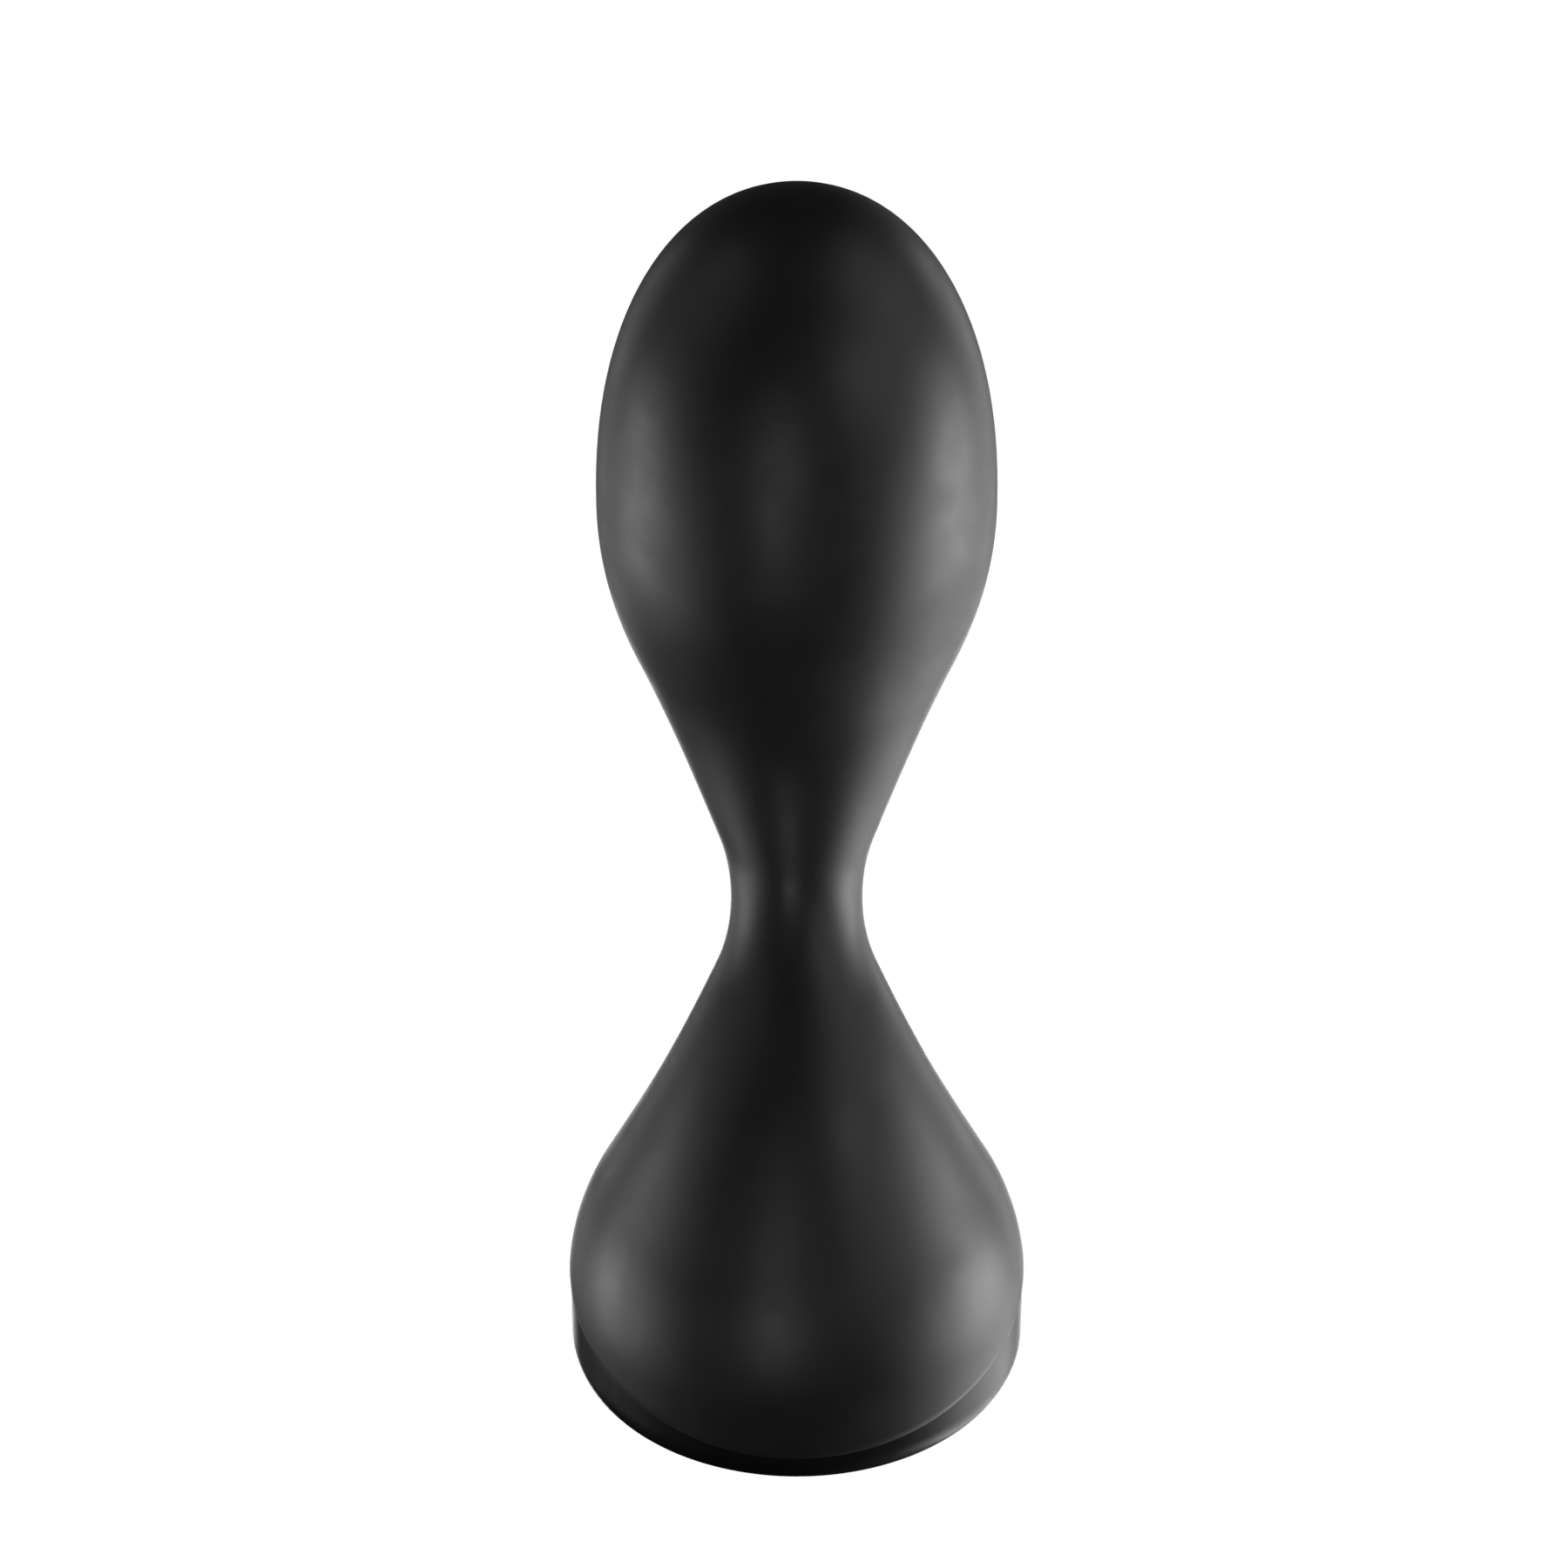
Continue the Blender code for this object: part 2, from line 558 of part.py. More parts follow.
def circuit_board():
    board = disc("circuit_board", BOARD_R, BOARD_Z, BOARD_Z + BOARD_THICK, BOARD_GREEN, steps=36)
    top = BOARD_Z + BOARD_THICK
    for i, angle in enumerate(POST_ANGLES, start=1):
        spot = (POST_RING_R * math.cos(angle), POST_RING_R * math.sin(angle))
        boolean(board, disc(f"cut_board_{i}", SCREW_R + GAP, BOARD_Z - 1.0, top + 1.0, None, spot,
                            steps=12))
        head = top + GAP
        profile = [(0.0, head + 0.9), (SCREW_HEAD_R * 0.8, head + 0.9), (SCREW_HEAD_R, head + 0.5),
                   (SCREW_HEAD_R, head), (SCREW_R, head), (SCREW_R, FLOOR_Z + 1.4),
                   (0.0, FLOOR_Z + 0.8)]
        turned(f"board_screw_{i}", profile, STEEL, (*spot, 0.0), steps=12)

    seat = top + GAP
    chips = [("microcontroller", (6.0, 6.0, 0.9), (-6.2, 3.6)),
             ("charge_chip", (4.0, 4.0, 0.8), (5.4, -3.4)),
             ("motor_driver", (3.0, 3.0, 0.8), (5.6, 3.8)),
             ("motor_connector", (4.4, 2.6, CONNECTOR_HEIGHT), (6.3, 9.2)),
             ("battery_connector", (2.6, 4.4, CONNECTOR_HEIGHT), (-11.6, -2.0))]
    for name, (w, d, h), (x, y) in chips:
        box(name, (w, d, h), (x, y, seat + h / 2), CHIP_BLACK, bevel=0.15)
    disc("inductor", 1.9, seat, seat + 2.0, CHIP_BLACK, (-1.4, -4.6), steps=16)
    for i, x in enumerate((-0.2, 2.6), start=1):
        disc(f"capacitor_{i}", 1.0, seat, seat + 2.0, STEEL, (x, 0.6), steps=12)
    led_top = BOARD_Z - GAP
    box("indicator_led", (2.0, 1.4, LED_HEIGHT), (0.0, LIGHT_Y, led_top - LED_HEIGHT / 2),
        CLEAR_LENS, bevel=0.1)


def charging_and_light():
    """Two fixed contact pins, two magnets that hold the charger, and a light pipe."""
    board_under = BOARD_Z - GAP
    flange = FLOOR_Z + GAP
    flange_top = flange + PIN_FLANGE_THICK
    for i, x in enumerate((-CONTACT_X, CONTACT_X), start=1):
        profile = [(0.0, board_under), (CONTACT_STEM_R, board_under),
                   (CONTACT_STEM_R, flange_top), (CONTACT_R + PIN_FLANGE, flange_top),
                   (CONTACT_R + PIN_FLANGE, flange), (CONTACT_R, flange),
                   (CONTACT_R, PIN_FACE_Z + 0.2), (CONTACT_R - 0.2, PIN_FACE_Z), (0.0, PIN_FACE_Z)]
        turned(f"charge_contact_{i}", profile, GOLD_PLATE, (x, CONTACT_Y, 0.0), steps=14)
    for i, x in enumerate((-MAGNET_X, MAGNET_X), start=1):
        disc(f"charge_magnet_{i}", MAGNET_R, flange, flange + 2.0, STEEL, (x, MAGNET_Y), steps=16)
    led_under = board_under - LED_HEIGHT - GAP
    profile = [(0.0, led_under), (LIGHT_STEM_R, led_under), (LIGHT_STEM_R, flange_top),
               (LIGHT_R + PIN_FLANGE, flange_top), (LIGHT_R + PIN_FLANGE, flange),
               (LIGHT_R, flange), (LIGHT_R, PIN_FACE_Z), (0.0, PIN_FACE_Z)]
    turned("light_pipe", profile, CLEAR_LENS, (0.0, LIGHT_Y, 0.0), steps=14)


# ---------------------------------------------------------------- battery and wires

def battery():
    length, width, height = CELL_SIZE
    box("battery_tray", (length + 1.0, width + 0.6, TRAY_THICK),
        (0.0, 0.0, TRAY_Z + TRAY_THICK / 2), GREY_PLASTIC, bevel=0.3)
    cell_z = TRAY_Z + TRAY_THICK + GAP
    box("battery_cell", CELL_SIZE, (0.0, 0.0, cell_z + height / 2), CELL_FOIL, bevel=0.9)
    pad_z = cell_z + height + GAP
    box("battery_pad", (12.0, 10.0, 1.0), (0.0, 0.0, pad_z + 0.5), FOAM, bevel=0.2)


def wires():
    """Battery leads down to the board, and motor leads up through the narrow neck."""
    board_seat = BOARD_Z + BOARD_THICK + GAP + CONNECTOR_HEIGHT + GAP
    for i, (y, mat) in enumerate(((-2.9, RED_WIRE), (-1.1, BLACK_WIRE)), start=1):
        route = [(-10.9, y, 18.0), (-11.6, y, 17.4), (-12.0, y, 15.5), (-11.8, y, board_seat + 0.3)]
        wire(f"battery_lead_{i}", route, mat)
    for i, (side, mat) in enumerate(((-1, RED_WIRE), (1, BLACK_WIRE)), start=1):
        x = 0.75 * side
        low = [(6.3 + x, 9.3, board_seat + 0.2), (6.3 + x, 10.1, 14.0), (5.4 + x, 10.0, 18.5),
               (3.0 + x, 7.0, 22.6), (0.6 + x, 3.0, 25.2), (x, 1.6, 29.0)]
        neck = [(x, lean_at(z), z) for z in (34.0, 39.0, 44.0, 49.0, 54.0, 58.0)]
        end_z = MOTOR_Z - TERMINAL_DROP - GAP
        high = [(1.9 * side, lean_at(end_z - 3.4), end_z - 3.4), (TERMINAL_X * side, MOTOR_Y, end_z)]
        wire(f"motor_lead_{i}", low + neck + high, mat, per_span=3)


# ---------------------------------------------------------------- motor and rotor

def arc(radius, start, end, steps):
    """Points on a circle from one angle to another, in degrees."""
    angles = [math.radians(start + (end - start) * i / steps) for i in range(steps + 1)]
    return [(radius * math.cos(a), radius * math.sin(a)) for a in angles]


def motor_housing():
    seat = (0.0, MOTOR_Y, 0.0)
    top = MOTOR_Z + MOTOR_LENGTH
    floor = MOTOR_Z - GAP
    sleeve_r = MOTOR_R + GAP + 0.9
    cup_in = sleeve_r + GAP
    cup_out = cup_in + 1.2
    rim = MOTOR_Z + 10.4
    cup = [(cup_out, rim), (cup_out, floor - 1.2), (6.0, floor - 1.2), (6.0, floor),
           (cup_in, floor), (cup_in, rim)]
    turned("motor_cup", cup, GREY_PLASTIC, seat, steps=MEDIUM)
    ring("motor_sleeve", MOTOR_R + GAP, sleeve_r, MOTOR_Z, rim - 0.5, SEAL_RUBBER, seat[:2],
         steps=MEDIUM)
    wall = 0.8
    can = [(2.3, top), (MOTOR_R - 0.5, top), (MOTOR_R, top - 0.5), (MOTOR_R, MOTOR_Z),
           (MOTOR_R - wall, MOTOR_Z), (MOTOR_R - wall, top - wall), (2.3, top - wall)]
    turned("motor_can", can, STEEL, seat, steps=MEDIUM)
    ring("motor_end_cap", SHAFT_R + GAP, MOTOR_R - wall - GAP, MOTOR_Z, MOTOR_Z + 1.6, CHIP_BLACK,
         seat[:2], steps=MEDIUM)
    bush = [(2.0, top + 0.6), (2.0, top - wall - 0.6), (SHAFT_R + GAP, top - wall - 0.6),
            (SHAFT_R + GAP, top + 0.6)]
    turned("motor_bush", bush, BRASS, seat)
    outer = MOTOR_R - wall - GAP
    for i, turn in enumerate((0.0, 180.0), start=1):
        loop = arc(outer, turn - 65, turn + 65, 10) + arc(outer - 1.0, turn + 65, turn - 65, 10)
        flat(f"motor_magnet_{i}", [loop], MOTOR_Z + 3.6, top - wall - 1.6, STEEL, seat[:2])
    height = TERMINAL_DROP - GAP
    for i, x in enumerate((-TERMINAL_X, TERMINAL_X), start=1):
        box(f"motor_terminal_{i}", (2.0, 0.5, height), (x, MOTOR_Y, MOTOR_Z - GAP - height / 2),
            BRASS)


def rotor():
    """Everything that spins with the shaft, the off-centre weight above all."""
    spin = axis_empty("rotor_axis", (0.0, MOTOR_Y, MOTOR_Z + MOTOR_LENGTH / 2))
    seat = (0.0, MOTOR_Y)
    turned("motor_shaft", [(0.0, WEIGHT_Z + WEIGHT_THICK), (SHAFT_R, WEIGHT_Z + WEIGHT_THICK - 0.3),
                           (SHAFT_R, MOTOR_Z + 0.6), (0.0, MOTOR_Z + 0.3)],
           STEEL, (*seat, 0.0), steps=14, parent=spin)
    hole = arc(SHAFT_R + GAP, 0, -330, 11)
    poles = []
    for i in range(3):
        poles += arc(5.0, 120 * i - 42, 120 * i + 42, 8)
        poles += arc(2.6, 120 * i + 52, 120 * i + 68, 2)
    flat("motor_armature", [poles, hole], MOTOR_Z + 5.0, MOTOR_Z + 14.4, STEEL, seat, spin)
    ring("motor_commutator", SHAFT_R + GAP, 2.3, MOTOR_Z + 2.0, MOTOR_Z + 4.4, BRASS, seat,
         parent=spin)
    weight = arc(WEIGHT_R, 180, 360, 18) + arc(2.6, 0, 180, 8)
    flat("eccentric_weight", [weight, hole], WEIGHT_Z, WEIGHT_Z + WEIGHT_THICK - 0.9, STEEL, seat,
         spin)


silicone_skin()
core_halves()
core_screws()
base_cap()
base_seal()
push_buttons()
circuit_board()
charging_and_light()
battery()
wires()
motor_housing()
rotor()
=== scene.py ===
"""The looks of the hand-held massager: fine skin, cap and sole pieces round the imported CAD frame.

The silicone skin, the base cap and the pieces in the sole are lofted here at full smoothness. The
parts inside keep their CAD meshes and get their finish. Lengths are in millimetres until MM.
"""
import json
import math

import bmesh
import bpy
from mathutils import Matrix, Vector

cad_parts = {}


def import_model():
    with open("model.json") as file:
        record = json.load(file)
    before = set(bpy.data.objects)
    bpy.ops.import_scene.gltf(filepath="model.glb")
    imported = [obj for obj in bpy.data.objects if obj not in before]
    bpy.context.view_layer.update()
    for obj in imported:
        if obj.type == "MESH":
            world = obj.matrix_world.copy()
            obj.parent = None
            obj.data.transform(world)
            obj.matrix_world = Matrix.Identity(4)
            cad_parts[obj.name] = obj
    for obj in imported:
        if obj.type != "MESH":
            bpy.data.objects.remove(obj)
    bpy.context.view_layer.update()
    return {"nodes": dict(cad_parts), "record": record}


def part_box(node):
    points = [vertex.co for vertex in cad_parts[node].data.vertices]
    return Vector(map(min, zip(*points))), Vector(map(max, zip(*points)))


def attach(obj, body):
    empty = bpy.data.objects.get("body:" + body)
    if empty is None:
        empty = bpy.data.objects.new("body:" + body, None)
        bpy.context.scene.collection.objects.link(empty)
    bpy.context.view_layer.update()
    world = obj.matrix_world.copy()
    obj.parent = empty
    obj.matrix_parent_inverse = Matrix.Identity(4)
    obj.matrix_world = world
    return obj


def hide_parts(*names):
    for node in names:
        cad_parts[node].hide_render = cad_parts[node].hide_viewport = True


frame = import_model()

MM = 0.001
AROUND = 160                   # columns round the skin and the cap

# The outline and lean, as the CAD model has them
FOOT_Z = 4.0
BASE_RADIUS = 21.0             # the base is widest here
BASE_Z = 8.5                   # up to here its wall is upright,
BASE_ROUND = 22.0              # then it curves in at this radius
WAIST_RADIUS = 5.9
WAIST_Z = 45.0
WAIST_ROUND = 12.0             # radius of the hollow at the waist
HEAD_RADIUS = 17.6             # widest part of the head
HEAD_CENTRE_Z = 79.5           # height of the widest part
HEAD_ROUND = 33.0              # the head curves in below it at this radius
TOP_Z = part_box("silicone_skin")[1].z / MM
CROWN_POWER = 2.2              # superellipse exponent of the crown, 2 would be an ellipse
LEAN = 18.0                    # how far the head's axis stands behind the base's axis
LEAN_FROM_Z = 22.0
LEAN_TO_Z = 72.0
SKIN_WALL = 2.0

# The slanted seam between skin and cap
RIM_Z = 10.2                   # the seam's height beside the axis
RIM_TAN = math.tan(math.radians(16.6))
LIP_PRESS = 0.06               # the soft lip is pressed this far onto the cap's edge
LIP_ROUND = 2.2                # the skin curls in at this radius
LIP_STEP = 0.16                # by this much,
LIP_TIP = 0.08                 # then turns under at this radius
LIP_BACK = 0.3                 # and is rounded this much at the inner face
EVEN_FROM_Z = 30.0             # below this height the rows follow the slanted rim
CAP_INSET = 0.18               # the skin stands proud of the cap by this
CAP_EDGE_ROUND = 0.03
SOLE_ROUND_R = 3.6             # the sole's rounded edge, in plan
SOLE_ROUND_Z = 3.5             # and in height
COLLAR_INSET = 2.5
COLLAR_TOP_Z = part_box("base_cap")[1].z / MM
COLLAR_WALL = 1.6
FLOOR_Z = 2.0                  # upper face of the cap's floor

# Wells and pieces in the sole
BUTTON_WELL_R = 3.8
PIN_WELL_R = 1.5
WELL_EASE = 0.2
BUTTON_R = 3.5
BUTTON_FLANGE_R = 4.2
BUTTON_FLANGE_THICK = 0.8
BUTTON_EASE = 0.35
BUTTON_DISH = 0.22
BUTTON_LAND = 0.9              # flat ring between a button's edge and its dish
RING_R = 1.25                  # the ring on the power button
RING_WIDTH = 0.22
DOT_R = 0.55                   # the dot on the program button
PIN_R = 1.2
PIN_FLANGE_R = 1.9
PIN_FLANGE_Z = (2.3, 2.9)
PIN_EASE = 0.3


# ---------------------------------------------------------------- curves

def flank_tilt(radius, z, rounding):
    """Tilt from upright of the straight flank that touches this round and the waist's hollow."""
    across = WAIST_RADIUS + WAIST_ROUND - (radius - rounding)
    up = abs(WAIST_Z - z)
    return math.atan2(up, across) - math.acos((rounding + WAIST_ROUND) / math.hypot(across, up))


def flank(spacing):
    """The (radius, height) points from the foot up to the head's widest part."""
    low_tilt = flank_tilt(BASE_RADIUS, BASE_Z, BASE_ROUND)
    high_tilt = flank_tilt(HEAD_RADIUS, HEAD_CENTRE_Z, HEAD_ROUND)
    corners = [(BASE_RADIUS, FOOT_Z)]
    corners += bend(BASE_RADIUS, BASE_Z, BASE_ROUND, 0.0, low_tilt, spacing)
    corners += bend(WAIST_RADIUS, WAIST_Z, -WAIST_ROUND, low_tilt, -high_tilt, spacing)
    corners += bend(HEAD_RADIUS, HEAD_CENTRE_Z, HEAD_ROUND, -high_tilt, 0.0, spacing)
    points = corners[:1]
    for (r0, z0), (r1, z1) in zip(corners, corners[1:]):
        count = math.ceil((z1 - z0) / spacing)
        points += [(r0 + (r1 - r0) * k / count, z0 + (z1 - z0) * k / count)
                   for k in range(1, count + 1)]
    return points


def bend(radius, z, rounding, start, end, spacing):
    """A round stretch between two tilts; its upright point has this radius and height."""
    steps = math.ceil(abs(rounding * (end - start)) / spacing)
    tilts = [start + (end - start) * i / steps for i in range(steps + 1)]
    return [(radius - rounding * (1 - math.cos(a)), z + rounding * math.sin(a)) for a in tilts]


def outline(spacing=0.6, crown_steps=34):
    """The body's outer (radius, height) points, from the top of the crown down to the lip."""
    crown = []
    for i in range(1, crown_steps + 1):
        angle = i / crown_steps * math.pi / 2
        r = HEAD_RADIUS * max(math.cos(angle), 0.0) ** (2 / CROWN_POWER)
        z = HEAD_CENTRE_Z + (TOP_Z - HEAD_CENTRE_Z) * math.sin(angle) ** (2 / CROWN_POWER)
        crown.append((r, z))
    crown[-1] = (0.0, TOP_Z)
    return list(reversed(flank(spacing) + crown))


def inset(profile, depth):
    """The profile moved inwards by depth, square to its own direction."""
    moved = []
    for i, (r, z) in enumerate(profile):
        before = profile[max(i - 1, 0)]
        after = profile[min(i + 1, len(profile) - 1)]
        along = Vector((after[0] - before[0], after[1] - before[1])).normalized()
        if i == 0:
            along = Vector((1.0, 0.0))
        moved.append((max(r + along.y * depth, 0.0), z - along.x * depth))
    moved[0] = (0.0, moved[0][1])
    return moved


def radius_at(profile, height):
    for (r0, z0), (r1, z1) in zip(profile, profile[1:]):
        if z0 >= height >= z1:
            return r0 + (r1 - r0) * (z0 - height) / (z0 - z1)
    return profile[-1][0]


def lean_at(z):
    """How far the centre line stands behind the base's axis at this height."""
    t = min(max((z - LEAN_FROM_Z) / (LEAN_TO_Z - LEAN_FROM_Z), 0.0), 1.0)
    return LEAN * t ** 3 * (10 - 15 * t + 6 * t ** 2)


def at(azimuth, r, z):
    """A point of the leaning body; azimuth 0 is the front."""
    slope = lean_at(z + 0.5) - lean_at(z - 0.5)
    y = -r * math.cos(azimuth) * math.hypot(1.0, slope) + lean_at(z)
    return Vector((r * math.sin(azimuth), y, z)) * MM


def rim_height(profile, azimuth, above=0.0):
    """Where the slanted rim plane, raised by above, meets a profile on this side."""
    z = RIM_Z
    for _ in range(8):
        z = RIM_Z + above - radius_at(profile, z) * math.cos(azimuth) * RIM_TAN
    return z


# ---------------------------------------------------------------- meshes

def loft(name, columns, material, slot, body, *nodes):
    """A closed solid from columns of points round Z; each column starts and ends on the axis."""
    mesh = bpy.data.meshes.new(name)
    bm = bmesh.new()
    first = bm.verts.new(columns[0][0])
    last = bm.verts.new(columns[0][-1])
    rings = [[bm.verts.new(p) for p in column[1:-1]] for column in columns]
    for left, right in zip(rings, rings[1:] + rings[:1]):
        bm.faces.new((first, left[0], right[0]))
        for i in range(len(left) - 1):
            bm.faces.new((left[i], left[i + 1], right[i + 1], right[i]))
        bm.faces.new((left[-1], last, right[-1]))
    bmesh.ops.recalc_face_normals(bm, faces=bm.faces)
    bm.to_mesh(mesh)
    bm.free()
    return finish_piece(bpy.data.objects.new(name, mesh), material, slot, body, *nodes)


def finish_piece(obj, material, slot, body, *nodes):
    bpy.context.scene.collection.objects.link(obj)
    obj.data.shade_smooth()
    obj.data.materials.append(material)
    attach(obj, body)
    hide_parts(*nodes)
    return obj


def turned_mesh(name, profile, centre=(0.0, 0.0), steps=48):
    """A closed solid turned about a vertical axis, from axis to axis."""
    mesh = bpy.data.meshes.new(name)
    bm = bmesh.new()
    verts = [bm.verts.new((r * MM, 0.0, z * MM)) for r, z in profile]
    edges = [bm.edges.new(pair) for pair in zip(verts, verts[1:])]
    bmesh.ops.spin(bm, geom=verts + edges, axis=(0, 0, 1), cent=(0, 0, 0), steps=steps,
                   angle=2 * math.pi, use_merge=True)
    bmesh.ops.remove_doubles(bm, verts=bm.verts, dist=0.000001)
    bmesh.ops.translate(bm, verts=bm.verts, vec=(centre[0] * MM, centre[1] * MM, 0.0))
    bmesh.ops.recalc_face_normals(bm, faces=bm.faces)
    bm.to_mesh(mesh)
    bm.free()
    return bpy.data.objects.new(name, mesh)


def arc(centre_r, centre_z, radius, start, end, steps=5):
    """Rounded stretch of a profile, angles in degrees from straight out."""
    points = []
    for i in range(steps + 1):
        a = math.radians(start + (end - start) * i / steps)
        points.append((centre_r + radius * math.cos(a), centre_z + radius * math.sin(a)))
    return points


def node_middle(node):
    low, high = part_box(node)
    return (low + high) / 2 / MM


# ---------------------------------------------------------------- materials

def shader_of(name):
    material = bpy.data.materials.new(name)
    material.use_nodes = True
    tree = material.node_tree
    return material, tree, tree.nodes["Principled BSDF"]


def noise(tree, scale, detail=3.0, stretch=(1.0, 1.0, 1.0)):
    """Noise in object space, scale in features a metre."""
    place = tree.nodes.new("ShaderNodeTexCoord")
    mapping = tree.nodes.new("ShaderNodeMapping")
    mapping.inputs["Scale"].default_value = stretch
    texture = tree.nodes.new("ShaderNodeTexNoise")
    texture.inputs["Scale"].default_value = scale
    texture.inputs["Detail"].default_value = detail
    tree.links.new(place.outputs["Object"], mapping.inputs["Vector"])
    tree.links.new(mapping.outputs["Vector"], texture.inputs["Vector"])
    return texture.outputs["Fac"]


def spread(tree, fac, low, high, start=0.35, end=0.65):
    ramp = tree.nodes.new("ShaderNodeMapRange")
    ramp.inputs["From Min"].default_value = start
    ramp.inputs["From Max"].default_value = end
    ramp.inputs["To Min"].default_value = low
    ramp.inputs["To Max"].default_value = high
    tree.links.new(fac, ramp.inputs["Value"])
    return ramp.outputs["Result"]


def tint(tree, fac, dark, light):
    mix = tree.nodes.new("ShaderNodeMix")
    mix.data_type = 'RGBA'
    mix.inputs["A"].default_value = (*dark, 1.0)
    mix.inputs["B"].default_value = (*light, 1.0)
    tree.links.new(fac, mix.inputs["Factor"])
    return mix.outputs["Result"]


def bump(tree, height, strength, distance):
    node = tree.nodes.new("ShaderNodeBump")
    node.inputs["Strength"].default_value = strength
    node.inputs["Distance"].default_value = distance
    tree.links.new(height, node.inputs["Height"])
    return node.outputs["Normal"]


def finish_of(name, dark, light, rough, grain, grain_depth, metallic=0.0, patch=90.0,
              stretch=(1.0, 1.0, 1.0)):
    """A finish whose colour and gloss vary in soft patches, over a fine grain."""
    material, tree, shader = shader_of(name)
    patches = spread(tree, noise(tree, patch), 0.0, 1.0)
    tree.links.new(tint(tree, patches, dark, light), shader.inputs["Base Color"])
    gloss = noise(tree, patch * 2.7, 4.0, stretch)
    tree.links.new(spread(tree, gloss, *rough), shader.inputs["Roughness"])
    fine = noise(tree, grain, 2.0, stretch)
    tree.links.new(bump(tree, fine, 1.0, grain_depth), shader.inputs["Normal"])
    shader.inputs["Metallic"].default_value = metallic
    return material, shader


def silicone():
    material, shader = finish_of("matte_silicone", (0.0105, 0.0105, 0.011), (0.0125, 0.0125, 0.013),
                                 (0.43, 0.49), 2600.0, 0.000003)
    shader.inputs["IOR"].default_value = 1.42
    shader.inputs["Sheen Weight"].default_value = 0.06
    shader.inputs["Sheen Roughness"].default_value = 0.4
    return material


def moulded(name, dark, light, rough=(0.36, 0.46), specular=0.5):
    material, shader = finish_of(name, dark, light, rough, 1900.0, 0.000004)
    shader.inputs["Specular IOR Level"].default_value = specular
    return material


def metal(name, dark, light, rough=(0.2, 0.34), stretch=(1.0, 1.0, 18.0)):
    material, _shader = finish_of(name, dark, light, rough, 1600.0, 0.000003, 1.0, 140.0, stretch)
    return material


def clear_lens():
    material, shader = finish_of("frosted_lens", (0.78, 0.8, 0.83), (0.86, 0.88, 0.9),
                                 (0.12, 0.22), 1500.0, 0.000003)
    shader.inputs["Transmission Weight"].default_value = 0.6
    shader.inputs["IOR"].default_value = 1.49
    return material


MATERIALS = {
    "skin": silicone(),
    "cap": moulded("cap_plastic", (0.005, 0.005, 0.0052), (0.006, 0.006, 0.0062), (0.34, 0.4),
                   0.25),
    "button": moulded("button_plastic", (0.045, 0.045, 0.047), (0.055, 0.055, 0.057)),
    "seal": moulded("seal_rubber", (0.02, 0.02, 0.021), (0.028, 0.028, 0.03), (0.5, 0.65)),
    "inner_plastic": moulded("inner_plastic", (0.15, 0.15, 0.16), (0.19, 0.19, 0.2)),
    "board": moulded("board_mask", (0.012, 0.09, 0.035), (0.02, 0.13, 0.05), (0.25, 0.4)),
    "chip": moulded("component_body", (0.022, 0.022, 0.023), (0.032, 0.032, 0.034)),
    "capacitor": metal("capacitor_can", (0.6, 0.6, 0.62), (0.72, 0.72, 0.74)),
    "lens": clear_lens(),
    "contact": metal("gold_plate", (0.78, 0.58, 0.24), (0.86, 0.68, 0.34), (0.16, 0.28)),
    "magnet": metal("nickel_plate", (0.58, 0.57, 0.54), (0.68, 0.67, 0.64), (0.12, 0.24)),
    "cell_foil": metal("cell_foil", (0.5, 0.51, 0.53), (0.62, 0.63, 0.65), (0.3, 0.5)),
    "foam": moulded("closed_cell_foam", (0.03, 0.03, 0.03), (0.06, 0.06, 0.06), (0.8, 0.95)),
    "red_wire": moulded("red_insulation", (0.42, 0.015, 0.01), (0.52, 0.03, 0.02)),
    "black_wire": moulded("black_insulation", (0.015, 0.015, 0.015), (0.025, 0.025, 0.025)),
    "steel": metal("plain_steel", (0.45, 0.45, 0.45), (0.58, 0.58, 0.58)),
    "lamination": metal("steel_laminations", (0.3, 0.28, 0.27), (0.42, 0.4, 0.38), (0.35, 0.55),
                        (1.0, 1.0, 40.0)),
    "brass": metal("brass", (0.62, 0.44, 0.18), (0.74, 0.55, 0.26)),
}


# ---------------------------------------------------------------- skin

OUTSIDE = outline()


def skin():
    """The silicone sleeve, its rounded lip following the slanted seam, and its inner face."""
    inner = inset(OUTSIDE, SKIN_WALL)
    upper = [p for p in OUTSIDE if p[1] > EVEN_FROM_Z]
    upper_inner = [p for p in inner if p[1] > EVEN_FROM_Z][::2]
    low_rows = 30
    curl = math.acos(1 - LIP_STEP / LIP_ROUND)
    tip_r = LIP_STEP + LIP_TIP * math.cos(curl)
    columns = []
    for i in range(AROUND):
        azimuth = 2 * math.pi * i / AROUND
        rim = rim_height(OUTSIDE, azimuth, -LIP_PRESS)
        foot = rim + LIP_TIP + (LIP_ROUND - LIP_TIP) * math.sin(curl)
        lower = [EVEN_FROM_Z + (foot - EVEN_FROM_Z) * k / low_rows for k in range(low_rows + 1)]
        outer = upper + [(radius_at(OUTSIDE, z), z) for z in lower]
        widest = outer[-1][0]
        edge = arc(widest - LIP_ROUND, foot, LIP_ROUND, 0, -math.degrees(curl), 6)[1:]
        edge += arc(widest - tip_r, rim + LIP_TIP, LIP_TIP, -math.degrees(curl), -90, 5)[1:]
        back = arc(widest - SKIN_WALL + LIP_BACK, rim + LIP_BACK, LIP_BACK, -90, -180, 3)
        inside = [(radius_at(inner, z), z) for z in reversed(lower[:-1:3])]
        profile = outer + edge + back + inside + list(reversed(upper_inner))
        columns.append([at(azimuth, r, z) for r, z in profile])
    return loft("skin", columns, MATERIALS["skin"], "skin", "housing", "silicone_skin")


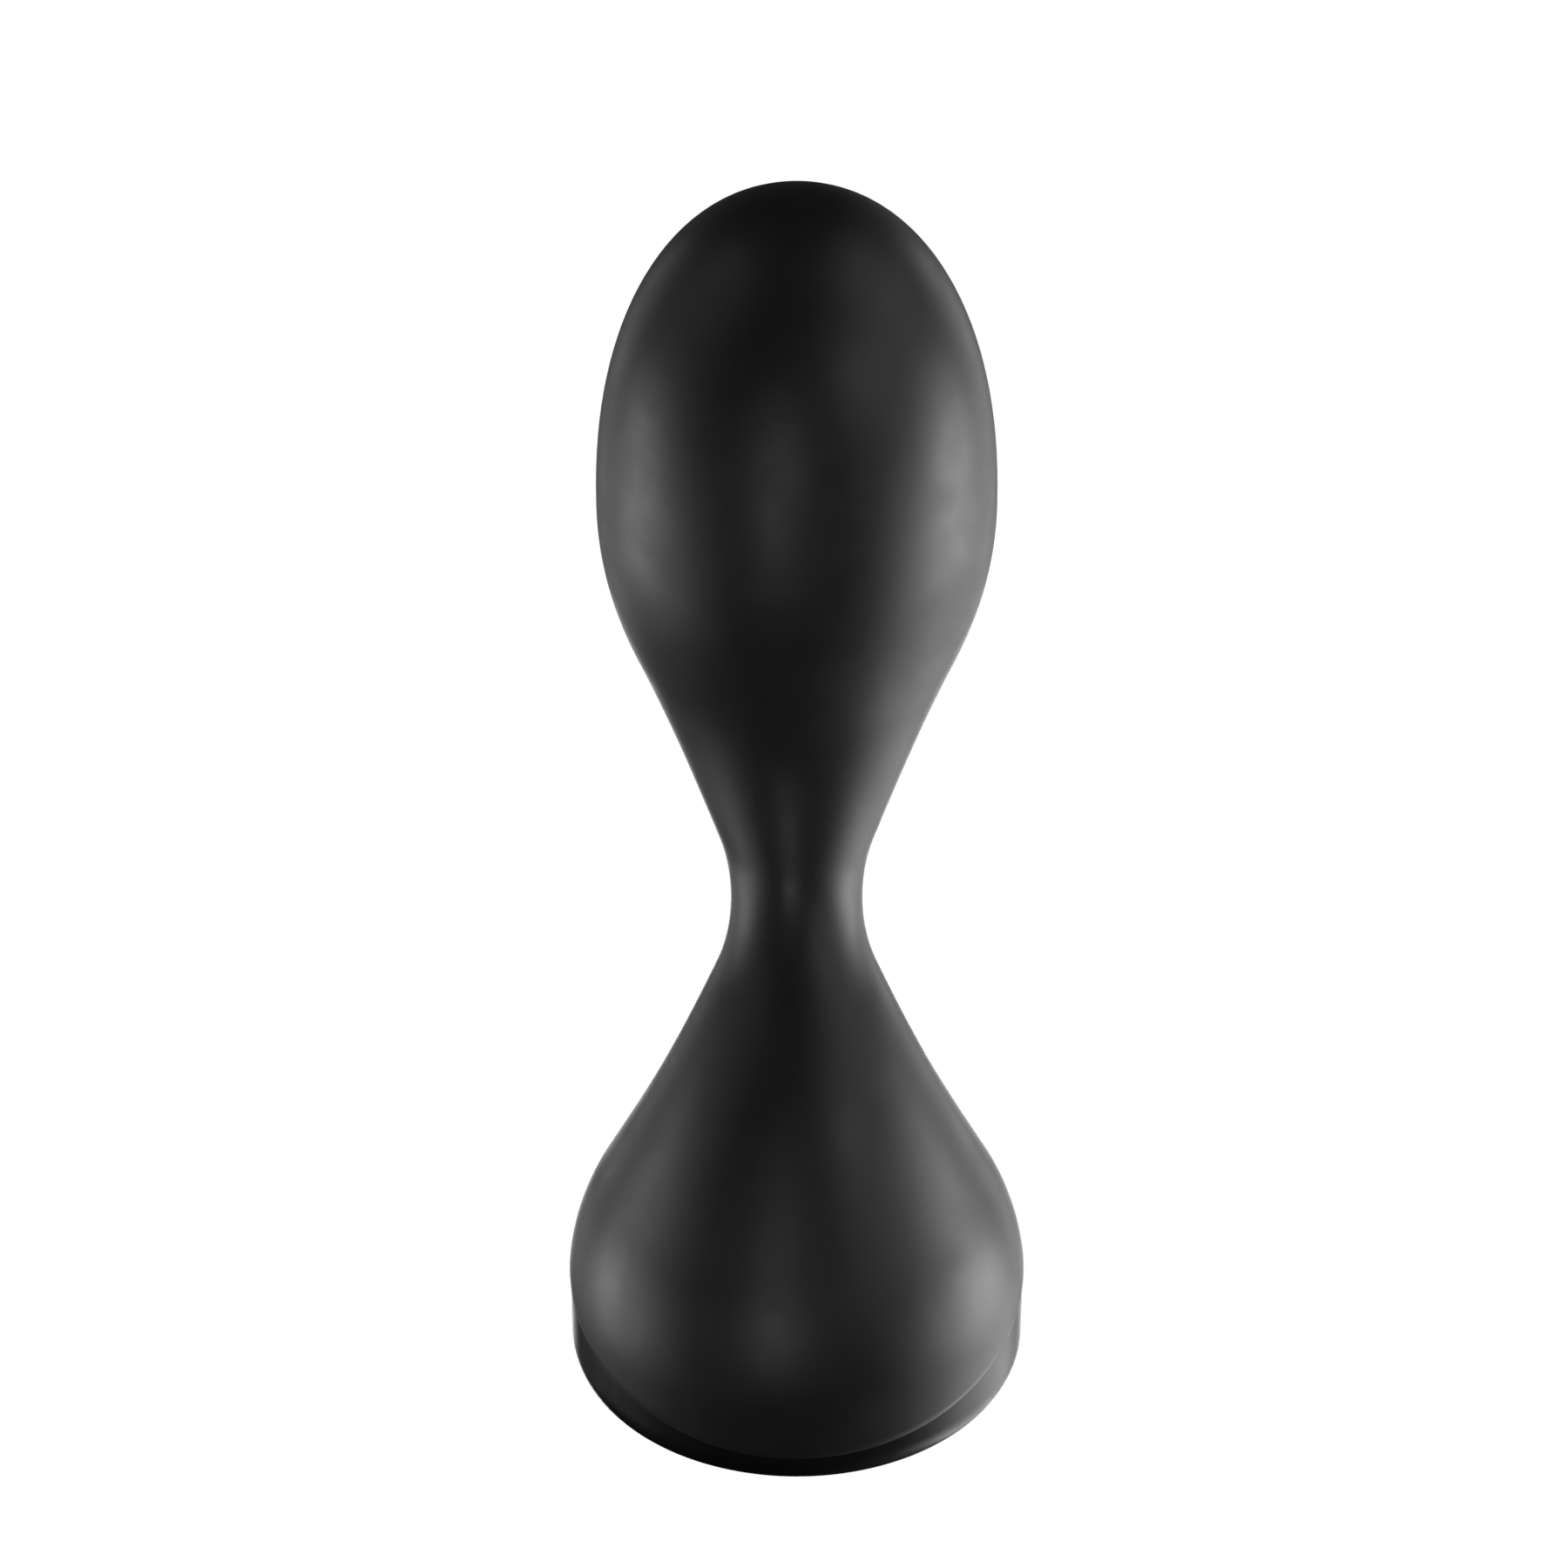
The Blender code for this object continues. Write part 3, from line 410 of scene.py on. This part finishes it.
# ---------------------------------------------------------------- base cap

def cap():
    """The rigid cup: slanted shoulder, wall, rounded sole, collar; its wells are cut after."""
    side = inset(OUTSIDE, CAP_INSET)
    collar = inset(OUTSIDE, COLLAR_INSET)
    room = inset(OUTSIDE, COLLAR_INSET + COLLAR_WALL)
    low_r = radius_at(side, SOLE_ROUND_Z)
    round_edge = [(low_r - SOLE_ROUND_R * (1 - math.cos(a)), SOLE_ROUND_Z * (1 - math.sin(a)))
                  for a in (math.radians(90 * k / 14) for k in range(15))]
    columns = []
    for i in range(AROUND):
        azimuth = 2 * math.pi * i / AROUND
        top = rim_height(side, azimuth)
        wall_top = top - CAP_EDGE_ROUND
        wall = [wall_top + (SOLE_ROUND_Z - wall_top) * k / 10 for k in range(11)]
        shelf_r = radius_at(side, wall_top) - CAP_EDGE_ROUND
        edge = arc(shelf_r, wall_top, CAP_EDGE_ROUND, 90, 0, 5)[:-1]
        outer = edge + [(radius_at(side, z), z) for z in wall[:-1]] + round_edge
        heights = [COLLAR_TOP_Z + (top - COLLAR_TOP_Z) * k / 5 for k in range(6)]
        ring = [(radius_at(collar, z), z) for z in heights]
        depths = [COLLAR_TOP_Z, 15.0, 10.0, 5.5]
        inside = [(radius_at(room, z), z) for z in reversed(depths)]
        inside = [(0.0, FLOOR_Z), (radius_at(room, 5.5) - 1.5, FLOOR_Z)] + inside
        profile = inside + ring + outer + [(0.0, 0.0)]
        columns.append([at(azimuth, r, z) for r, z in profile])
    piece = loft("cap", columns, MATERIALS["cap"], "cap", "housing", "base_cap")
    cut_wells(piece)
    return piece


def cut_wells(piece):
    """Wells through the sole for the buttons, contacts and light, with eased mouths."""
    wells = [("power_button", BUTTON_WELL_R), ("program_button", BUTTON_WELL_R),
             ("charge_contact_1", PIN_WELL_R), ("charge_contact_2", PIN_WELL_R),
             ("light_pipe", PIN_WELL_R)]
    for node, reach in wells:
        middle = node_middle(node)
        mouth = arc(reach + WELL_EASE, WELL_EASE, WELL_EASE, -90, -180, 4)
        profile = [(0.0, -1.0), (reach + WELL_EASE, -1.0), *mouth, (reach, FLOOR_Z + 1.0),
                   (0.0, FLOOR_Z + 1.0)]
        tool = turned_mesh("well", profile, (middle.x, middle.y), 40)
        bpy.context.scene.collection.objects.link(tool)
        cut = piece.modifiers.new("well", 'BOOLEAN')
        cut.object = tool
        cut.solver = 'EXACT'
        graph = bpy.context.evaluated_depsgraph_get()
        mesh = bpy.data.meshes.new_from_object(piece.evaluated_get(graph))
        piece.modifiers.clear()
        piece.data = mesh
        bpy.data.objects.remove(tool)
    piece.data.shade_smooth()
    piece.data.set_sharp_from_angle(angle=math.radians(35))
    for face in piece.data.polygons:
        if abs(face.normal.z) > 0.9999:
            face.use_smooth = False


# ---------------------------------------------------------------- pieces in the sole

def buttons():
    """Dished push buttons with eased edges; a raised ring marks one and a dot the other."""
    for word, mark in (("power", "ring"), ("program", "dot")):
        node = word + "_button"
        low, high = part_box(node)
        face = low.z / MM
        top = high.z / MM
        hollow_r = BUTTON_R - BUTTON_LAND
        hollow = [(hollow_r - hollow_r * k / 8, face + BUTTON_DISH * math.sin(math.pi / 2 * k / 8))
                  for k in range(9)]
        if mark == "ring":
            raised, height = arc(RING_R, 0.0, RING_WIDTH, 0, 180, 6), 0.8
        else:
            raised, height = arc(0.0, 0.0, DOT_R, 0, 90, 6), 0.35
        flange_z = top - BUTTON_FLANGE_THICK
        profile = [(0.0, top), (BUTTON_FLANGE_R, top), (BUTTON_FLANGE_R, flange_z),
                   (BUTTON_R, flange_z)]
        profile += arc(BUTTON_R - BUTTON_EASE, face + BUTTON_EASE, BUTTON_EASE, 0, -90, 5)
        profile += [p for p in hollow[1:-1] if p[0] > raised[0][0] + 0.1]
        floor = face + BUTTON_DISH
        profile += [(r, floor - height * z) for r, z in raised]
        if mark == "ring":
            profile.append((0.0, floor))
        middle = node_middle(node)
        piece = turned_mesh(node + "_fine", profile, (middle.x, middle.y), 64)
        finish_piece(piece, MATERIALS["button"], "button", node, node)
        piece.data.set_sharp_from_angle(angle=math.radians(50))


def contacts_and_light():
    """Domed charging contacts and the domed end of the light pipe, flush in their wells."""
    low_z, high_z = PIN_FLANGE_Z
    for node, slot, stem, lift in (("charge_contact_1", "contact", 0.6, 0.15),
                                   ("charge_contact_2", "contact", 0.6, 0.15),
                                   ("light_pipe", "lens", 1.0, 0.2)):
        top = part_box(node)[1].z / MM
        profile = [(0.0, top), (stem - 0.1, top), (stem, top - 0.1), (stem, high_z),
                   (PIN_FLANGE_R, high_z), (PIN_FLANGE_R, low_z), (PIN_R, low_z)]
        profile += arc(PIN_R - PIN_EASE, lift + PIN_EASE, PIN_EASE, 0, -80, 5)
        profile += [(0.45, lift - 0.03), (0.0, lift - 0.04)]
        middle = node_middle(node)
        piece = turned_mesh(node + "_fine", profile, (middle.x, middle.y), 40)
        finish_piece(piece, MATERIALS[slot], slot, "housing", node)
        piece.data.set_sharp_from_angle(angle=math.radians(50))


def finish_inside():
    """Every CAD node gets its slot's finish; the replaced ones stay hidden."""
    for part in frame["record"]["subparts"]:
        data = frame["nodes"][part["node"]].data
        data.materials.clear()
        data.materials.append(MATERIALS[part["material_slot"]])


# ---------------------------------------------------------------- camera, floor, light

AIM = Vector((0.0, 9.0, 55.83))
CAMERA_DISTANCE = 386.5
CAMERA_ELEVATION = math.radians(30.0)
FRAME_SHIFT = -0.0081          # the object stands this far right of the frame's middle
LIGHT_AIM = Vector((0.0, 10.0, 55.0))
LEFT_SHARE = 0.5               # the left panels' strength beside the right ones'


def camera():
    data = bpy.data.cameras.new("camera")
    data.lens = 100.0
    data.sensor_width = 36.0
    data.shift_x = FRAME_SHIFT
    data.clip_start = 0.01
    data.clip_end = 20.0
    obj = bpy.data.objects.new("camera", data)
    back = Vector((0.0, -math.cos(CAMERA_ELEVATION), math.sin(CAMERA_ELEVATION)))
    obj.location = (AIM + back * CAMERA_DISTANCE) * MM
    obj.rotation_euler = (math.pi / 2 - CAMERA_ELEVATION, 0.0, 0.0)
    bpy.context.scene.collection.objects.link(obj)
    bpy.context.scene.camera = obj


def floor():
    """A white floor that only the camera sees, and only from above."""
    mesh = bpy.data.meshes.new("floor")
    bm = bmesh.new()
    bmesh.ops.create_grid(bm, x_segments=1, y_segments=1, size=3.0)
    bm.to_mesh(mesh)
    bm.free()
    obj = bpy.data.objects.new("floor", mesh)
    obj.location.z = -0.0003
    bpy.context.scene.collection.objects.link(obj)
    material = bpy.data.materials.new("white_floor")
    material.use_nodes = True
    tree = material.node_tree
    tree.nodes.clear()
    glow = tree.nodes.new("ShaderNodeEmission")
    clear = tree.nodes.new("ShaderNodeBsdfTransparent")
    side = tree.nodes.new("ShaderNodeNewGeometry")
    mix = tree.nodes.new("ShaderNodeMixShader")
    out = tree.nodes.new("ShaderNodeOutputMaterial")
    tree.links.new(side.outputs["Backfacing"], mix.inputs["Fac"])
    tree.links.new(glow.outputs["Emission"], mix.inputs[1])
    tree.links.new(clear.outputs["BSDF"], mix.inputs[2])
    tree.links.new(mix.outputs["Shader"], out.inputs["Surface"])
    mesh.materials.append(material)
    for ray in ("diffuse", "glossy", "transmission", "shadow"):
        setattr(obj, "visible_" + ray, False)


def world():
    """White where the camera sees past the floor, dark for everything that it lights."""
    scene = bpy.context.scene
    scene.world = bpy.data.worlds.new("studio")
    scene.world.use_nodes = True
    tree = scene.world.node_tree
    seen = tree.nodes.new("ShaderNodeLightPath")
    background = tree.nodes["Background"]
    tree.links.new(seen.outputs["Is Camera Ray"], background.inputs["Strength"])
    background.inputs["Color"].default_value = (1.0, 1.0, 1.0, 1.0)
    scene.view_settings.view_transform = 'Standard'
    scene.view_settings.look = 'None'


def softbox(name, azimuth, elevation, distance, width, height, strength):
    """A panel that faces the object; strength is what reaches it, whatever the distance."""
    data = bpy.data.lights.new(name, 'AREA')
    data.shape = 'RECTANGLE'
    data.size = width * MM
    data.size_y = height * MM
    data.energy = strength * (2 * math.pi * distance * MM) ** 2
    obj = bpy.data.objects.new(name, data)
    a, e = math.radians(azimuth), math.radians(elevation)
    away = Vector((math.sin(a) * math.cos(e), -math.cos(a) * math.cos(e), math.sin(e)))
    obj.location = (LIGHT_AIM + away * distance) * MM
    obj.rotation_euler = away.to_track_quat('Z', 'Y').to_euler()
    obj.visible_camera = False
    bpy.context.scene.collection.objects.link(obj)


def studio():
    """Soft panels beside, above and behind the object, brighter on the right; weak ones in front.

    Each one is: name, azimuth (0 in front, 90 at the right), elevation, distance, width, height
    and strength.
    """
    for side, word, share in ((-1, "left", LEFT_SHARE), (1, "right", 1.0)):
        softbox("side_" + word, side * 100.0, -15.0, 600.0, 300.0, 300.0, 0.20 * share)
        softbox("low_" + word, side * 75.0, -20.0, 200.0, 100.0, 100.0, 0.07 * share)
        softbox("high_" + word, side * 90.0, 45.0, 400.0, 300.0, 300.0, 0.05 * share)
        softbox("rim_" + word, side * 140.0, -10.0, 400.0, 100.0, 400.0, 0.05 * share)
    softbox("under_right", 110.0, -50.0, 400.0, 300.0, 200.0, 0.08)
    softbox("front", -10.0, 0.0, 300.0, 50.0, 150.0, 0.04)
    softbox("front_right", 45.0, 25.0, 450.0, 200.0, 100.0, 0.03)
    softbox("under_back", 180.0, -40.0, 500.0, 300.0, 200.0, 0.1)


camera()
skin()
cap()
buttons()
contacts_and_light()
finish_inside()
floor()
world()
studio()
